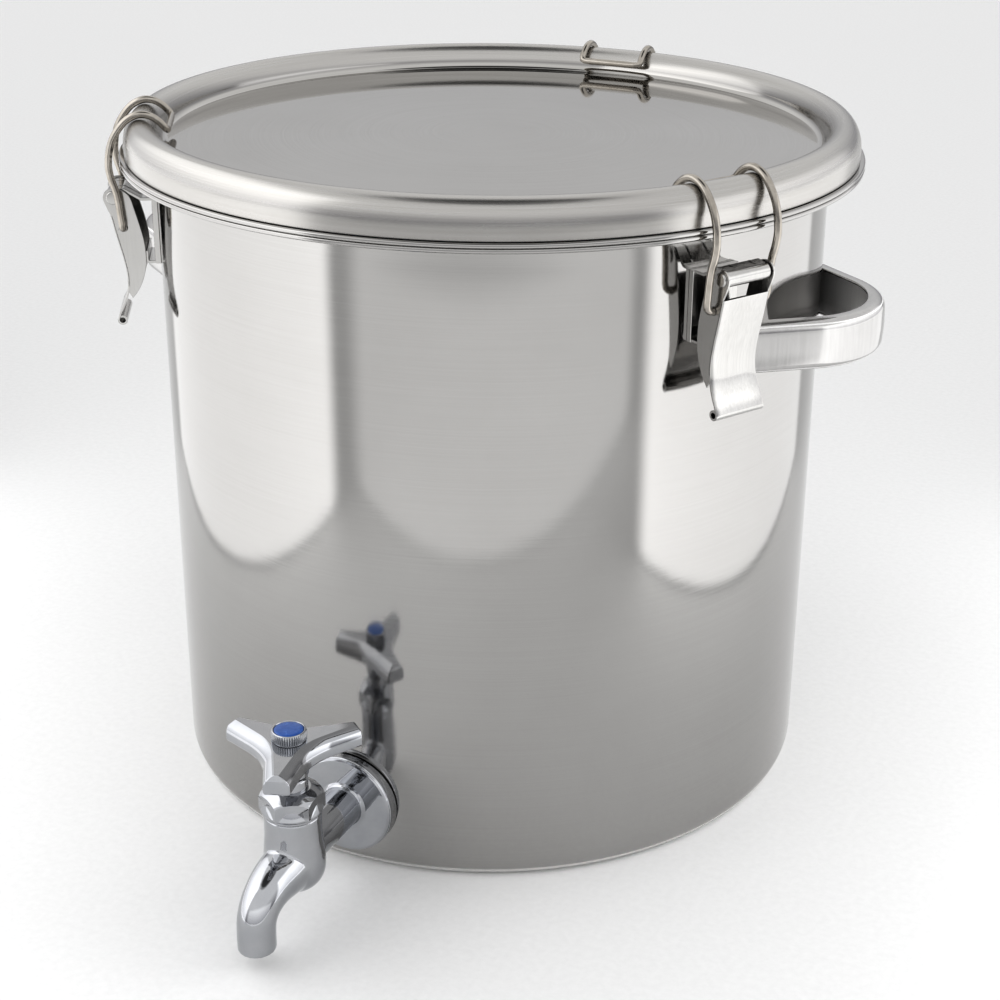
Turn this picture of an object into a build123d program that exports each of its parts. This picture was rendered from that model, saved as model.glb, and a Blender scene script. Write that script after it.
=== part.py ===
from build123d import *
from math import cos, sin, tan, radians, hypot, atan2
import os

# Lidded stainless brewing vessel with a draw-off tap.
# Millimetres. The vessel axis is Z, it stands on z = 0, and the tap points to -Y.
# Pieces that stand on the wall are drawn in a local frame (x out from the axis,
# y along the wall, z up) and then turned to their azimuth.

# ---------------------------------------------------------------- driving dimensions
BORE_R = 150.0            # inside radius of the vessel
WALL = 1.0                # sheet thickness
BODY_R = BORE_R + WALL
BASE_CORNER_R = 8.0
BASE_SEAM = 12.0          # where the drawn base meets the wall
RIM_SEAM = 286.0          # where the wall meets the rim's neck
FLANGE_TOP = 293.6        # top face of the rim flange, where the gasket rests
FLANGE_T = 2.0
FLANGE_R = 166.3
HEM_IN_R = 155.5
HEM_BOTTOM = 289.6

SKIRT_R = 164.04          # lid: outside radius of its skirt
SKIRT_BOTTOM = 293.95
CROWN_MID_R = 156.0
CROWN_Z = 298.2           # centre height of the half-elliptical crown
CROWN_A = SKIRT_R - CROWN_MID_R
CROWN_B = 11.3
LID_PLATE_TOP = 298.28
LID_T = 1.0
CROWN_END_DEG = 162.0

CLIP_AZIMUTHS = [-30.0, 90.0, 210.0]
PIVOT = (169.8, 273.9)    # lever pin, (x, z)
BAIL_EYE = (166.0, 260.3)  # bail hinge in the lever's ears, (x, z)
PIN_R = 2.1
PIN_GAP = 0.08
BARREL_R = 3.4
BARREL_HALF = 10.9
EAR_IN = 11.3
EAR_OUT = 12.2
WIRE_R = 1.6
LEG_Y = 15.9
CURL_AT = (169.5, 217.6)
CURL_R = 2.3
CURL_HALF = 12.7

HANDLE_AZIMUTHS = {"right": 0.0, "left": 180.0}
HANDLE_MID_Z = 231.4
HANDLE_H = 22.0
HANDLE_DEPTH = 8.5
HANDLE_T = 1.3
HANDLE_BEND_R = 44.0
HANDLE_BEND_X = 140.0
HANDLE_LEG_DEG = 52.8     # where the bend meets its two straight legs

TAP_AZIMUTH = -90.0
INLET_Z = 33.0
INLET_R = 9.2
THREAD_R = 10.1
VALVE_X = 198.5
BARREL_TOP = 55.0
VALVE_BODY_R = 12.2
VALVE_BELLY_R = 13.2      # the barrel swells where inlet and spout leave it
VALVE_FLOOR = 17.6
SEAT_Z = 40.0
SPOUT_X = 230.6
SPOUT_R = 8.15
SPOUT_BORE_R = 6.4
SPOUT_TIP = 7.9
SPOUT_STRAIGHT_TOP = 18.0
SPINDLE_R = 4.0
SPINDLE_FOOT = 49.2       # the valve disc rises to just below here
SPINDLE_TOP = 87.0
LIFT_PIN_R = 1.8          # the disc's stem, inside the spindle
LIFT_PIN_TOP = 54.4
TAP_FLANGE_R = 23.0
TAP_FLANGE_BACK = 151.6   # its rim reaches back to here, round the gasket
KNOB_AZIMUTHS = [20.0, 140.0, 260.0]
KNOB_BOTTOM = 81.0
KNOB_SHOULDER = 86.5      # the side faces end here and slope in to the flat top
KNOB_TOP = 89.5
HUB_R = 8.2
CAP_R = 7.4
CAP_TOP = 94.1
BUTTON_R = 6.2


# ---------------------------------------------------------------- helpers
def rounded_wire(points, radii, closed=False):
    """Straight runs through the points, with each corner rounded to its radius."""
    pts = [Vector(*p) for p in points]
    count = len(pts)
    corners = []
    for i, p in enumerate(pts):
        end_point = not closed and i in (0, count - 1)
        if end_point or radii[i] == 0:
            corners.append((p, None, p))
            continue
        back = (pts[i - 1] - p).normalized()
        ahead = (pts[(i + 1) % count] - p).normalized()
        half = radians(back.get_angle(ahead)) / 2
        inward = (back + ahead).normalized()
        run = radii[i] / tan(half)
        middle = p + inward * (radii[i] / sin(half) - radii[i])
        corners.append((p + back * run, middle, p + ahead * run))
    edges = []
    for i, (start, middle, end) in enumerate(corners):
        if middle is not None:
            edges.append(Edge.make_three_point_arc(start, middle, end))
        if i == count - 1 and not closed:
            break
        following = corners[(i + 1) % count][0]
        if (following - end).length > 1e-6:
            edges.append(Edge.make_line(end, following))
    return Wire(edges)


def xz_face(points, radii=None):
    """Closed outline in the XZ plane from (x, z) points."""
    radii = radii or [0] * len(points)
    return Face(rounded_wire([(x, 0, z) for x, z in points], radii, closed=True))


def turned(points, radii=None):
    return revolve(xz_face(points, radii), Axis.Z, 360)


def across(face, half):
    """Extrude an XZ face to both sides of the XZ plane."""
    return extrude(face, amount=half, dir=(0, 1, 0), both=True)


def slab(face, y_from, y_to):
    return Pos(0, y_from, 0) * extrude(face, amount=y_to - y_from, dir=(0, 1, 0))


def disc_x(x_from, x_to, radius, z):
    """Cylinder along the local x axis."""
    body = Cylinder(radius, x_to - x_from)
    return Pos((x_from + x_to) / 2, 0, z) * Rot(0, 90, 0) * body


def rod_z(radius, z_from, z_to, x=0.0, z_shift=0.0):
    body = Cylinder(radius, z_to - z_from)
    return Pos(x, 0, (z_from + z_to) / 2 + z_shift) * body


def pin_y(radius, y_from, y_to, at):
    body = Cylinder(radius, y_to - y_from)
    return Pos(at[0], (y_from + y_to) / 2, at[1]) * Rot(90, 0, 0) * body


def strip_face(points, thickness):
    """A sheet's side view: a smooth line through (x, z) points, thickened to one side."""
    last = len(points) - 1
    shifted = []
    for i, (x, z) in enumerate(points):
        x0, z0 = points[max(i - 1, 0)]
        x1, z1 = points[min(i + 1, last)]
        length = hypot(x1 - x0, z1 - z0)
        shifted.append((x + (z1 - z0) / length * thickness, z - (x1 - x0) / length * thickness))
    front = Edge.make_spline([Vector(x, 0, z) for x, z in points])
    back = Edge.make_spline([Vector(x, 0, z) for x, z in reversed(shifted)])
    close_low = Edge.make_line(front @ 1, back @ 0)
    close_high = Edge.make_line(back @ 1, front @ 0)
    return Face(Wire([front, close_low, back, close_high]))


def save(shape, name, azimuth=0.0):
    shape = Rot(0, 0, azimuth) * shape
    shape.label = name
    export_step(shape, f"parts/{name}.step")


os.makedirs("parts", exist_ok=True)

# ---------------------------------------------------------------- vessel
base_pan = turned(
    [(0, 0), (BODY_R, 0), (BODY_R, BASE_SEAM), (BORE_R, BASE_SEAM), (BORE_R, WALL), (0, WALL)],
    [0, BASE_CORNER_R, 0, 0, BASE_CORNER_R - WALL, 0],
)
save(base_pan, "vessel_base")

wall_tube = rod_z(BODY_R, BASE_SEAM, RIM_SEAM) - rod_z(BORE_R, BASE_SEAM - 1, RIM_SEAM + 1)
wall_hole = Rot(0, 0, TAP_AZIMUTH) * disc_x(BORE_R - 6, BODY_R + 6, THREAD_R + 0.3, INLET_Z)
save(wall_tube - wall_hole, "vessel_wall")

hem_top = FLANGE_TOP - FLANGE_T
rim_flange = turned(
    [
        (BORE_R, RIM_SEAM),
        (BODY_R, RIM_SEAM),
        (BODY_R, hem_top),
        (FLANGE_R, hem_top),
        (FLANGE_R, FLANGE_TOP),
        (BORE_R, FLANGE_TOP),
    ],
    [0, 0, 1.5, 0.9, 0.9, 2.4],
)
save(rim_flange, "rim_flange")

hem = turned(
    [(HEM_IN_R, HEM_BOTTOM), (FLANGE_R, HEM_BOTTOM), (FLANGE_R, hem_top), (HEM_IN_R, hem_top)],
    [0.4, 0.9, 0.9, 0],
)
save(hem, "rim_hem")

# ---------------------------------------------------------------- lid
crown_plane = Plane(origin=(CROWN_MID_R, 0, CROWN_Z), x_dir=(1, 0, 0), z_dir=(0, -1, 0))


def crown_point(a, b, deg):
    angle = radians(deg)
    return Vector(CROWN_MID_R + a * cos(angle), 0, CROWN_Z + b * sin(angle))


def crown_side(a, b, foot_x, plate_z):
    """Half ellipse over the rim, then a bend down onto the flat plate."""
    top = Edge.make_ellipse(a, b, plane=crown_plane, start_angle=0, end_angle=CROWN_END_DEG)
    end = crown_point(a, b, CROWN_END_DEG)
    bend = Edge.make_spline(
        [end, Vector(foot_x, 0, plate_z)],
        tangents=[Vector(-0.12, 0, -1), Vector(-1, 0, 0)],
    )
    return top, bend


outer_top, outer_bend = crown_side(CROWN_A, CROWN_B, 144.6, LID_PLATE_TOP)
inner_top, inner_bend = crown_side(CROWN_A - LID_T, CROWN_B - LID_T, 145.2, LID_PLATE_TOP - LID_T)
lid_outline = Wire(
    [
        Edge.make_line(Vector(SKIRT_R, 0, SKIRT_BOTTOM), outer_top @ 0),
        outer_top,
        outer_bend,
        Edge.make_line(outer_bend @ 1, Vector(0, 0, LID_PLATE_TOP)),
        Edge.make_line(Vector(0, 0, LID_PLATE_TOP), Vector(0, 0, LID_PLATE_TOP - LID_T)),
        Edge.make_line(Vector(0, 0, LID_PLATE_TOP - LID_T), inner_bend @ 1),
        inner_bend,
        inner_top,
        Edge.make_line(inner_top @ 0, Vector(SKIRT_R - LID_T, 0, SKIRT_BOTTOM)),
        Edge.make_line(Vector(SKIRT_R - LID_T, 0, SKIRT_BOTTOM), Vector(SKIRT_R, 0, SKIRT_BOTTOM)),
    ]
)
save(revolve(Face(lid_outline), Axis.Z, 360), "lid")

gasket = turned(
    [
        (151.6, FLANGE_TOP),
        (162.6, FLANGE_TOP),
        (162.6, 300.4),
        (158.8, 305.2),
        (153.2, 305.2),
        (149.9, 300.9),
    ],
    [1.0, 0.4, 2.0, 2.2, 2.2, 1.6],
)
save(gasket, "lid_gasket")

# ---------------------------------------------------------------- toggle clips
wall_core = rod_z(BODY_R, 200, 320)

back_plate = Pos(152.0, 0, 258.4) * Box(2.4, 24.0, 30.0)
arm = across(
    xz_face(
        [
            (150.8, 273.4),
            (157.6, 273.4),
            (165.2, 277.9),
            (PIVOT[0], PIVOT[1] + BARREL_R),
            (PIVOT[0], PIVOT[1] + BARREL_R - 1.2),
            (165.5, 276.6),
            (158.0, 272.1),
            (150.8, 272.1),
        ],
        [0, 2.0, 2.0, 0, 0, 1.0, 1.0, 0],
    ),
    BARREL_HALF,
)
foot = across(
    xz_face(
        [(150.8, 243.4), (157.4, 243.4), (157.4, 249.2), (156.2, 249.2), (156.2, 244.6), (150.8, 244.6)],
        [0, 1.8, 0, 0, 0.6, 0],
    ),
    BARREL_HALF,
)
barrel = pin_y(BARREL_R, -BARREL_HALF, BARREL_HALF, PIVOT)
barrel_bore = pin_y(PIN_R + PIN_GAP, -BARREL_HALF - 1, BARREL_HALF + 1, PIVOT)
arm_slots = [Pos(161.5, y, 275) * Box(5.0, 0.8, 12.0) for y in (-5.2, 5.2)]
clip_base = back_plate + arm + foot + barrel - barrel_bore - wall_core
for slot in arm_slots:
    clip_base -= slot

clip_pin = pin_y(PIN_R, -EAR_OUT - 0.8, EAR_OUT + 0.8, PIVOT)
for side in (-1, 1):
    clip_pin += pin_y(3.2, side * (EAR_OUT + 0.4) - 0.4, side * (EAR_OUT + 0.4) + 0.4, PIVOT)

# the lever: a pressed front plate between two ears, ending in a curl
plate_line = [
    (171.5, 265.6),
    (169.7, 256.5),
    (167.4, 246.2),
    (166.2, 237.8),
    (166.6, 231.2),
    (168.6, 225.2),
    (170.9, 220.6),
    (CURL_AT[0] + CURL_R, CURL_AT[1] + 0.2),
]
ear_back = [
    (171.5, 265.6),
    (172.9, 269.6),
    (174.1, 273.9),
    (172.9, 276.9),
    (169.8, 278.1),
    (166.0, 277.3),
    (162.9, 274.7),
    (160.9, 268.4),
    (158.9, 259.8),
    (158.0, 252.5),
    (158.4, 245.0),
    (159.9, 239.0),
    (162.1, 233.2),
    (165.0, 228.9),
    (167.4, 228.4),
]
ear_front = [(167.4, 228.4)] + plate_line[4::-1]
ear_face = Face(
    Wire(
        [
            Edge.make_spline([Vector(x, 0, z) for x, z in ear_back]),
            Edge.make_spline([Vector(x, 0, z) for x, z in ear_front]),
        ]
    )
)
clip_lever = across(strip_face(plate_line, 1.0), EAR_OUT)
clip_lever += pin_y(CURL_R, -CURL_HALF, CURL_HALF, CURL_AT)
clip_lever -= pin_y(CURL_R - 0.95, -CURL_HALF - 1, CURL_HALF + 1, CURL_AT)
for y_from, y_to in ((-EAR_OUT, -EAR_IN), (EAR_IN, EAR_OUT)):
    clip_lever += slab(ear_face, y_from, y_to)
clip_lever -= pin_y(PIN_R, -20, 20, PIVOT)
clip_lever -= pin_y(WIRE_R + PIN_GAP, -20, 20, BAIL_EYE)

# the bail: spring wire from ear to ear, over the lid's crown
leg_line = [
    BAIL_EYE,
    (167.6, 276.8),
    (170.3, 289.4),
    (168.5, 298.6),
    (165.1, 304.9),
    (161.0, 309.4),
    (155.9, 311.7),
    (151.0, 311.0),
    (147.0, 308.3),
    (143.9, 304.9),
]
leg_radii = [2.6, 12.0, 14.0, 14.0, 10.0, 8.0, 8.0, 6.0, 6.0, 2.6]
bail_points = [(BAIL_EYE[0], 10.2, BAIL_EYE[1])]
bail_points += [(x, LEG_Y, z) for x, z in leg_line]
bail_points += [(x, -LEG_Y, z) for x, z in reversed(leg_line)]
bail_points += [(BAIL_EYE[0], -10.2, BAIL_EYE[1])]
bail_path = rounded_wire(bail_points, [0] + leg_radii + leg_radii[::-1] + [0])
wire_section = Plane(origin=bail_path @ 0, z_dir=bail_path % 0) * Circle(WIRE_R)
clip_bail = sweep(wire_section, path=bail_path)

for number, azimuth in enumerate(CLIP_AZIMUTHS, start=1):
    save(clip_base, f"clip_base_{number}", azimuth)
    save(clip_pin, f"clip_pin_{number}", azimuth)
    save(clip_lever, f"clip_lever_{number}", azimuth)
    save(clip_bail, f"clip_bail_{number}", azimuth)

# ---------------------------------------------------------------- side handles
leg_angle = radians(HANDLE_LEG_DEG)
bend_foot = Vector(
    HANDLE_BEND_X + HANDLE_BEND_R * cos(leg_angle),
    HANDLE_BEND_R * sin(leg_angle),
    HANDLE_MID_Z,
)
leg_dir = Vector(-sin(leg_angle), cos(leg_angle), 0)
leg_end = bend_foot + leg_dir * 36.0


def mirrored(v):
    return Vector(v.X, -v.Y, v.Z)


handle_path = Wire(
    [
        Edge.make_line(mirrored(leg_end), mirrored(bend_foot)),
        Edge.make_three_point_arc(
            mirrored(bend_foot),
            Vector(HANDLE_BEND_X + HANDLE_BEND_R, 0, HANDLE_MID_Z),
            bend_foot,
        ),
        Edge.make_line(bend_foot, leg_end),
    ]
)
half_h = HANDLE_H / 2
channel = [
    (0, half_h),
    (-HANDLE_DEPTH, half_h),
    (-HANDLE_DEPTH, half_h - HANDLE_T),
    (-HANDLE_T, half_h - HANDLE_T),
    (-HANDLE_T, HANDLE_T - half_h),
    (-HANDLE_DEPTH, HANDLE_T - half_h),
    (-HANDLE_DEPTH, -half_h),
    (0, -half_h),
]
channel_face = Face(
    rounded_wire([(u, v, 0) for u, v in channel], [4.0, 0, 0, 2.7, 2.7, 0, 0, 4.0], closed=True)
)
start_dir = handle_path % 0
section_plane = Plane(
    origin=handle_path @ 0,
    x_dir=Vector(start_dir.Y, -start_dir.X, 0),
    z_dir=start_dir,
)
handle = sweep(section_plane * channel_face, path=handle_path) - wall_core
for side, azimuth in HANDLE_AZIMUTHS.items():
    save(handle, f"handle_{side}", azimuth)

# ---------------------------------------------------------------- tap
# stations along the spout: (x, z, outside radius, direction down from level in degrees)
spout_stations = [
    (199.0, 29.8, 11.8, -4),
    (210.3, 30.9, 10.7, 0),
    (219.4, 29.9, 9.5, 16),
    (226.3, 26.4, 8.6, 46),
    (229.8, 21.8, 8.25, 74),
    (SPOUT_X, SPOUT_STRAIGHT_TOP, SPOUT_R, 90),
]


def spout_loft(thinner, first):
    sections = []
    for x, z, radius, down in spout_stations[first:]:
        heading = Vector(cos(radians(down)), 0, -sin(radians(down)))
        plane = Plane(origin=(x, 0, z), x_dir=(0, 1, 0), z_dir=heading)
        sections.append(plane * Circle(radius - thinner))
    return loft(sections)


tap_body = Pos(VALVE_X, 0, 0) * turned(
    [
        (0, VALVE_FLOOR),
        (VALVE_BELLY_R, VALVE_FLOOR),
        (VALVE_BELLY_R, 33.0),
        (VALVE_BODY_R, 44.0),
        (VALVE_BODY_R, BARREL_TOP),
        (0, BARREL_TOP),
    ],
    [0, 11.5, 20.0, 20.0, 0, 0],
)
tap_body += spout_loft(0, 0)
tap_body += rod_z(SPOUT_R, SPOUT_TIP, SPOUT_STRAIGHT_TOP, SPOUT_X)
tap_body += disc_x(156.4, VALVE_X, INLET_R, INLET_Z)
tap_body += disc_x(156.4, 157.4, THREAD_R + 0.6, INLET_Z)
tap_body += disc_x(138.5, 156.4, THREAD_R, INLET_Z)

chamber = rod_z(9.4, SEAT_Z, BARREL_TOP + 1, VALVE_X)
seat_hole = rod_z(4.5, INLET_Z, SEAT_Z + 1, VALVE_X)
inlet_bore = disc_x(137.0, VALVE_X + 3.0, 5.5, INLET_Z)
down_bore_plane = Plane(origin=(204.0, 0, 43.5), z_dir=Vector(0.62, 0, -0.78))
down_bore = extrude(down_bore_plane * Circle(3.4), amount=15.0)
spout_bore = spout_loft(SPOUT_R - SPOUT_BORE_R + 0.4, 1)
spout_mouth = rod_z(SPOUT_BORE_R, SPOUT_TIP - 1, SPOUT_STRAIGHT_TOP + 0.5, SPOUT_X)
tap_body -= chamber + seat_hole + inlet_bore + down_bore + spout_bore + spout_mouth
save(tap_body, "tap_body", TAP_AZIMUTH)

flange_disc = disc_x(TAP_FLANGE_BACK, 156.4, TAP_FLANGE_R, INLET_Z)
flange_disc -= disc_x(150, 160, THREAD_R + 0.15, INLET_Z)
outer_rim = flange_disc.edges().filter_by(GeomType.CIRCLE).sort_by(Axis.X)[-2:]
flange_disc = fillet([e for e in outer_rim if e.radius > 20], 1.2)
flange_disc -= disc_x(150, 152.8, 22.5, INLET_Z)
save(flange_disc, "tap_flange", TAP_AZIMUTH)

outer_gasket = disc_x(148.0, 152.8, 22.45, INLET_Z) - disc_x(140, 160, THREAD_R + 0.3, INLET_Z)
save(outer_gasket - rod_z(BODY_R, 0, 80), "tap_gasket_outer", TAP_AZIMUTH)

inner_gasket = disc_x(147.0, 151.0, 15.0, INLET_Z) & rod_z(BORE_R, 0, 80)
save(inner_gasket - disc_x(140, 160, THREAD_R + 0.3, INLET_Z), "tap_gasket_inner", TAP_AZIMUTH)

backing = disc_x(145.4, 147.0, 15.0, INLET_Z) - disc_x(140, 150, THREAD_R + 0.2, INLET_Z)
save(backing, "tap_washer", TAP_AZIMUTH)

nut_plane = Plane(origin=(140.4, 0, INLET_Z), x_dir=(0, 1, 0), z_dir=(1, 0, 0))
lock_nut = extrude(nut_plane * RegularPolygon(14.0, 6, major_radius=False), amount=5.0)
lock_nut -= disc_x(139, 147, THREAD_R, INLET_Z)
save(lock_nut, "tap_lock_nut", TAP_AZIMUTH)

# bonnet: a domed hexagon on a collar, screwed into the barrel
hexagon = extrude(Pos(VALVE_X, 0, 57.0) * RegularPolygon(12.0, 6, major_radius=False), amount=10.0)
dome = Pos(VALVE_X, 0, 0) * turned(
    [(0, 57.0), (14.2, 57.0), (14.2, 62.2), (8.0, 67.0), (0, 67.0)],
    [0, 0, 5.0, 2.0, 0],
)
skirt = Pos(VALVE_X, 0, 0) * turned([(0, 57.0), (13.3, 57.0), (11.9, 61.5), (0, 61.5)])
bonnet = (hexagon & dome) + skirt
bonnet += Pos(VALVE_X, 0, 0) * turned([(0, 55.0), (12.6, 55.0), (12.6, 57.0), (0, 57.0)], [0, 0.7, 0.7, 0])
bonnet += rod_z(9.35, 50.0, 55.0, VALVE_X)
bonnet += rod_z(7.0, 67.0, 72.0, VALVE_X)
bonnet -= rod_z(SPINDLE_R + 0.06, 49, 73, VALVE_X)
bonnet -= rod_z(5.6, 68.0, 71.0, VALVE_X)
save(bonnet, "tap_bonnet", TAP_AZIMUTH)

packing = rod_z(5.55, 68.05, 70.95, VALVE_X) - rod_z(SPINDLE_R + 0.06, 60, 80, VALVE_X)
save(packing, "tap_packing", TAP_AZIMUTH)

spindle = rod_z(SPINDLE_R, SPINDLE_FOOT, SPINDLE_TOP, VALVE_X)
spindle -= rod_z(LIFT_PIN_R + 0.1, SPINDLE_FOOT - 1, LIFT_PIN_TOP + 5.6, VALVE_X)
save(spindle, "tap_spindle", TAP_AZIMUTH)

valve_disc = rod_z(7.4, 42.4, 44.0, VALVE_X) + rod_z(LIFT_PIN_R, 44.0, LIFT_PIN_TOP, VALVE_X)
save(valve_disc, "valve_disc", TAP_AZIMUTH)

valve_rubber = rod_z(7.0, SEAT_Z, 42.4, VALVE_X)
save(valve_rubber, "valve_rubber", TAP_AZIMUTH)


def knob_outline(z, reach, tip_half_w, tip_r, waist, web_r):
    """Three arms with straight sides that run into rounded webs."""
    points = []
    radii = []
    for azimuth in KNOB_AZIMUTHS:
        corner = hypot(reach, tip_half_w)
        spread = atan2(tip_half_w, reach)
        for side in (-1, 1):
            angle = radians(azimuth) + side * spread
            points.append((corner * cos(angle), corner * sin(angle), z))
            radii.append(tip_r)
        middle = radians(azimuth + 60)
        points.append((waist * cos(middle), waist * sin(middle), z))
        radii.append(web_r)
    return Face(rounded_wire(points, radii, closed=True))


# three-armed knob: upright sides, sloping shoulders and a flat star on top
knob_side = knob_outline(KNOB_SHOULDER, 30.0, 5.4, 2.2, 11.8, 20.0)
knob_flat = knob_outline(KNOB_TOP, 27.8, 1.6, 0.8, 7.8, 12.0)
sides = extrude(knob_side, amount=KNOB_SHOULDER - KNOB_BOTTOM, dir=(0, 0, -1))
shoulders = loft([knob_side, knob_flat], ruled=True)
knob = sides + shoulders + rod_z(HUB_R, 73.0, KNOB_BOTTOM)
knob -= rod_z(SPINDLE_R, 70, SPINDLE_TOP)
save(Pos(VALVE_X, 0, 0) * knob, "tap_knob", TAP_AZIMUTH)

cap = rod_z(CAP_R, KNOB_TOP, CAP_TOP) - rod_z(BUTTON_R + 0.05, CAP_TOP - 1.4, CAP_TOP + 1)
groove = Pos(CAP_R + 0.15, 0, (KNOB_TOP + CAP_TOP) / 2) * Cylinder(0.45, CAP_TOP - KNOB_TOP - 1.2)
for step in range(30):
    cap -= Rot(0, 0, 12 * step) * groove
save(Pos(VALVE_X, 0, 0) * cap, "knob_cap", TAP_AZIMUTH)

button = turned(
    [(0, CAP_TOP - 1.4), (BUTTON_R, CAP_TOP - 1.4), (BUTTON_R, CAP_TOP + 0.1), (0, CAP_TOP + 0.4)],
    [0, 0, 0.4, 0],
)
save(Pos(VALVE_X, 0, 0) * button, "index_button", TAP_AZIMUTH)
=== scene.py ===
import bpy
import math
from mathutils import Matrix, Vector


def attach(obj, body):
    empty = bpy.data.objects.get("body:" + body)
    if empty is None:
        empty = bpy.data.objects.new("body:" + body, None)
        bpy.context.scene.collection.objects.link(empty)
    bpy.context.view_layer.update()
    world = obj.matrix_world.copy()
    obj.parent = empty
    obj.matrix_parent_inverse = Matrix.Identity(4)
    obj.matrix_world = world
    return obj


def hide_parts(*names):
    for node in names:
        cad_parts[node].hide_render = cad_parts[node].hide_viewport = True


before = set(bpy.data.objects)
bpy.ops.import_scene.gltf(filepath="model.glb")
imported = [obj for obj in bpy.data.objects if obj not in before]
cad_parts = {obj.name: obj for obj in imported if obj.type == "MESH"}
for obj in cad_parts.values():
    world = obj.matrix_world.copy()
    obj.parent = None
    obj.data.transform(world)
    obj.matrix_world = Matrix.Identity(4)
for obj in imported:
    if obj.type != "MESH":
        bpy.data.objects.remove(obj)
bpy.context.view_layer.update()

MM = 0.001
CLIP_AZIMUTHS = (-30.0, 90.0, 210.0)
TAP_AZIMUTH = -90.0
BODY_R = 151.0
WALL_GAP = 0.02  # how far pieces that are fixed to the wall stand off it
PIVOT = (169.8, 273.9)
BAIL_EYE = (166.0, 260.3)
VALVE_X = 198.5
INLET_Z = 33.0
SPOUT_X = 230.6
SEAT_Z = 40.0
CHAMBER_R = 9.2


# ---------------------------------------------------------------- mesh helpers (millimetres in, metres out)
def mesh_object(name, verts, faces, crease_deg=35.0):
    mesh = bpy.data.meshes.new(name)
    mesh.from_pydata([tuple(c * MM for c in v) for v in verts], [], faces)
    mesh.validate()
    mesh.update()
    mesh.shade_smooth()
    if crease_deg:
        mesh.set_sharp_from_angle(angle=math.radians(crease_deg))
    obj = bpy.data.objects.new(name, mesh)
    bpy.context.scene.collection.objects.link(obj)
    return obj


def turn_to(obj, azimuth, at=(0.0, 0.0, 0.0)):
    """Move a piece drawn in a wall frame (x out, y along the wall) to its azimuth."""
    shift = Matrix.Translation(Vector(at) * MM)
    obj.data.transform(Matrix.Rotation(math.radians(azimuth), 4, "Z") @ shift)
    obj.data.update()
    return obj


def corner_arc(points, i, parts=None, step_deg=9.0):
    """The arc that takes the place of corner i of an outline of (a, b, radius) points."""
    a, b, radius = points[i]
    here = Vector((a, b))
    back = (Vector(points[i - 1][:2]) - here).normalized()
    ahead = (Vector(points[(i + 1) % len(points)][:2]) - here).normalized()
    half = back.angle(ahead) / 2
    centre = here + (back + ahead).normalized() * (radius / math.sin(half))
    first = here + back * (radius / math.tan(half)) - centre
    last = here + ahead * (radius / math.tan(half)) - centre
    sweep = first.angle_signed(last)
    if parts is None:
        parts = max(2, math.ceil(abs(math.degrees(sweep)) / step_deg))
    arc = []
    for k in range(parts + 1):
        turned = first.copy()
        turned.rotate(Matrix.Rotation(-sweep * k / parts, 2))
        arc.append(tuple(centre + turned))
    return arc


def rounded(points, closed=False):
    """Points (a, b, radius) of a flat outline, with each corner turned into an arc."""
    out = []
    for i, (a, b, radius) in enumerate(points):
        if radius == 0 or (not closed and i in (0, len(points) - 1)):
            out.append((a, b))
        else:
            out += corner_arc(points, i)
    return out


def subdivide(points, longest):
    """Split long straight runs so that shading and bumps have points to work with."""
    out = []
    for first, last in zip(points, points[1:]):
        a, b = Vector(first), Vector(last)
        parts = max(1, math.ceil((b - a).length / longest))
        out += [tuple(a.lerp(b, k / parts)) for k in range(parts)]
    return out + [tuple(points[-1])]


def skin(low, high):
    """Faces between two rows of vertices, with the doubled corners at a pole left out."""
    faces = []
    for k in range(len(low)):
        m = (k + 1) % len(low)
        corners = list(dict.fromkeys((low[k], low[m], high[m], high[k])))
        if len(corners) > 2:
            faces.append(corners)
    return faces


def lathe(name, profile, steps=192, axis_x=0.0, closed=True, crease_deg=35.0):
    """Turn a closed profile of (radius, z) round a vertical axis at x = axis_x."""
    verts, faces, rows = [], [], []
    for radius, z in profile:
        if abs(radius) < 1e-6:
            rows.append([len(verts)] * steps)
            verts.append((axis_x, 0.0, z))
            continue
        rows.append(list(range(len(verts), len(verts) + steps)))
        for k in range(steps):
            angle = 2 * math.pi * k / steps
            verts.append((axis_x + radius * math.cos(angle), radius * math.sin(angle), z))
    pairs = len(rows) if closed else len(rows) - 1
    for i in range(pairs):
        faces += skin(rows[i], rows[(i + 1) % len(rows)])
    return mesh_object(name, verts, faces, crease_deg)


def lathe_x(name, profile, z, steps=96, crease_deg=35.0):
    """Turn a closed profile of (radius, x) round a level axis at height z."""
    obj = lathe(name, profile, steps, crease_deg=crease_deg)
    level = Matrix(((0, 0, 1, 0), (0, 1, 0, 0), (-1, 0, 0, z * MM), (0, 0, 0, 1)))
    obj.data.transform(level)
    obj.data.update()
    return obj


def lathe_y(name, profile, at, steps=48, crease_deg=35.0):
    """Turn a closed profile of (radius, y) round an axis along y through at = (x, z)."""
    obj = lathe(name, profile, steps, crease_deg=crease_deg)
    side = Matrix(((1, 0, 0, at[0] * MM), (0, 0, 1, 0), (0, -1, 0, at[1] * MM), (0, 0, 0, 1)))
    obj.data.transform(side)
    obj.data.update()
    return obj


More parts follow.
